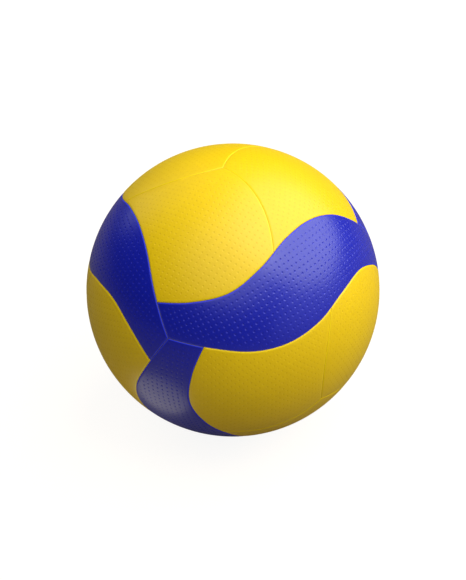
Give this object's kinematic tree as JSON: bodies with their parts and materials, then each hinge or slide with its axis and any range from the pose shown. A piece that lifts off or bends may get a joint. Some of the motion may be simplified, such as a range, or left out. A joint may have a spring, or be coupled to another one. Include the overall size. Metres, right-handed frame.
{
  "type": "volleyball",
  "caption": "Inflated ball for volleyball: curved blue and yellow dimpled cover panels over foam, rubber carcass, wound thread and a bladder with its valve.",
  "frame": {"origin": "centre of the ball", "axes": "+Z leaves through a corner where three yellow panels meet, straight above the blue corner that the ball stands on. The valve's axis leaves in the YZ plane, up and toward +Y, 35.3 degrees above the XY plane"},
  "size_m": [0.21, 0.21, 0.21],
  "materials": {
    "cover_blue": "satin",
    "cover_yellow": "satin",
    "foam": "matte",
    "carcass_rubber": "matte",
    "thread": "matte",
    "patch_cloth": "matte",
    "bladder_rubber": "satin",
    "valve_rubber": "satin",
    "core_rubber": "satin"
  },
  "bodies": {
    "root": {"bladder": "bladder_rubber", "valve_body": "valve_rubber", "valve_core": "core_rubber", "valve_patch": "patch_cloth", "thread_winding": "thread", "rubber_carcass": "carcass_rubber", "blue_foam_1": "foam", "blue_foam_2": "foam", "blue_foam_3": "foam", "blue_foam_4": "foam", "blue_foam_5": "foam", "blue_foam_6": "foam", "yellow_foam_1": "foam", "yellow_foam_2": "foam", "yellow_foam_3": "foam", "yellow_foam_4": "foam", "yellow_foam_5": "foam", "yellow_foam_6": "foam", "yellow_foam_7": "foam", "yellow_foam_8": "foam", "yellow_foam_9": "foam", "yellow_foam_10": "foam", "yellow_foam_11": "foam", "yellow_foam_12": "foam", "blue_panel_1": "cover_blue", "blue_panel_2": "cover_blue", "blue_panel_3": "cover_blue", "blue_panel_4": "cover_blue", "blue_panel_5": "cover_blue", "blue_panel_6": "cover_blue", "yellow_panel_1": "cover_yellow", "yellow_panel_2": "cover_yellow", "yellow_panel_3": "cover_yellow", "yellow_panel_4": "cover_yellow", "yellow_panel_5": "cover_yellow", "yellow_panel_6": "cover_yellow", "yellow_panel_7": "cover_yellow", "yellow_panel_8": "cover_yellow", "yellow_panel_9": "cover_yellow", "yellow_panel_10": "cover_yellow", "yellow_panel_11": "cover_yellow", "yellow_panel_12": "cover_yellow"}
  },
  "joints": []
}
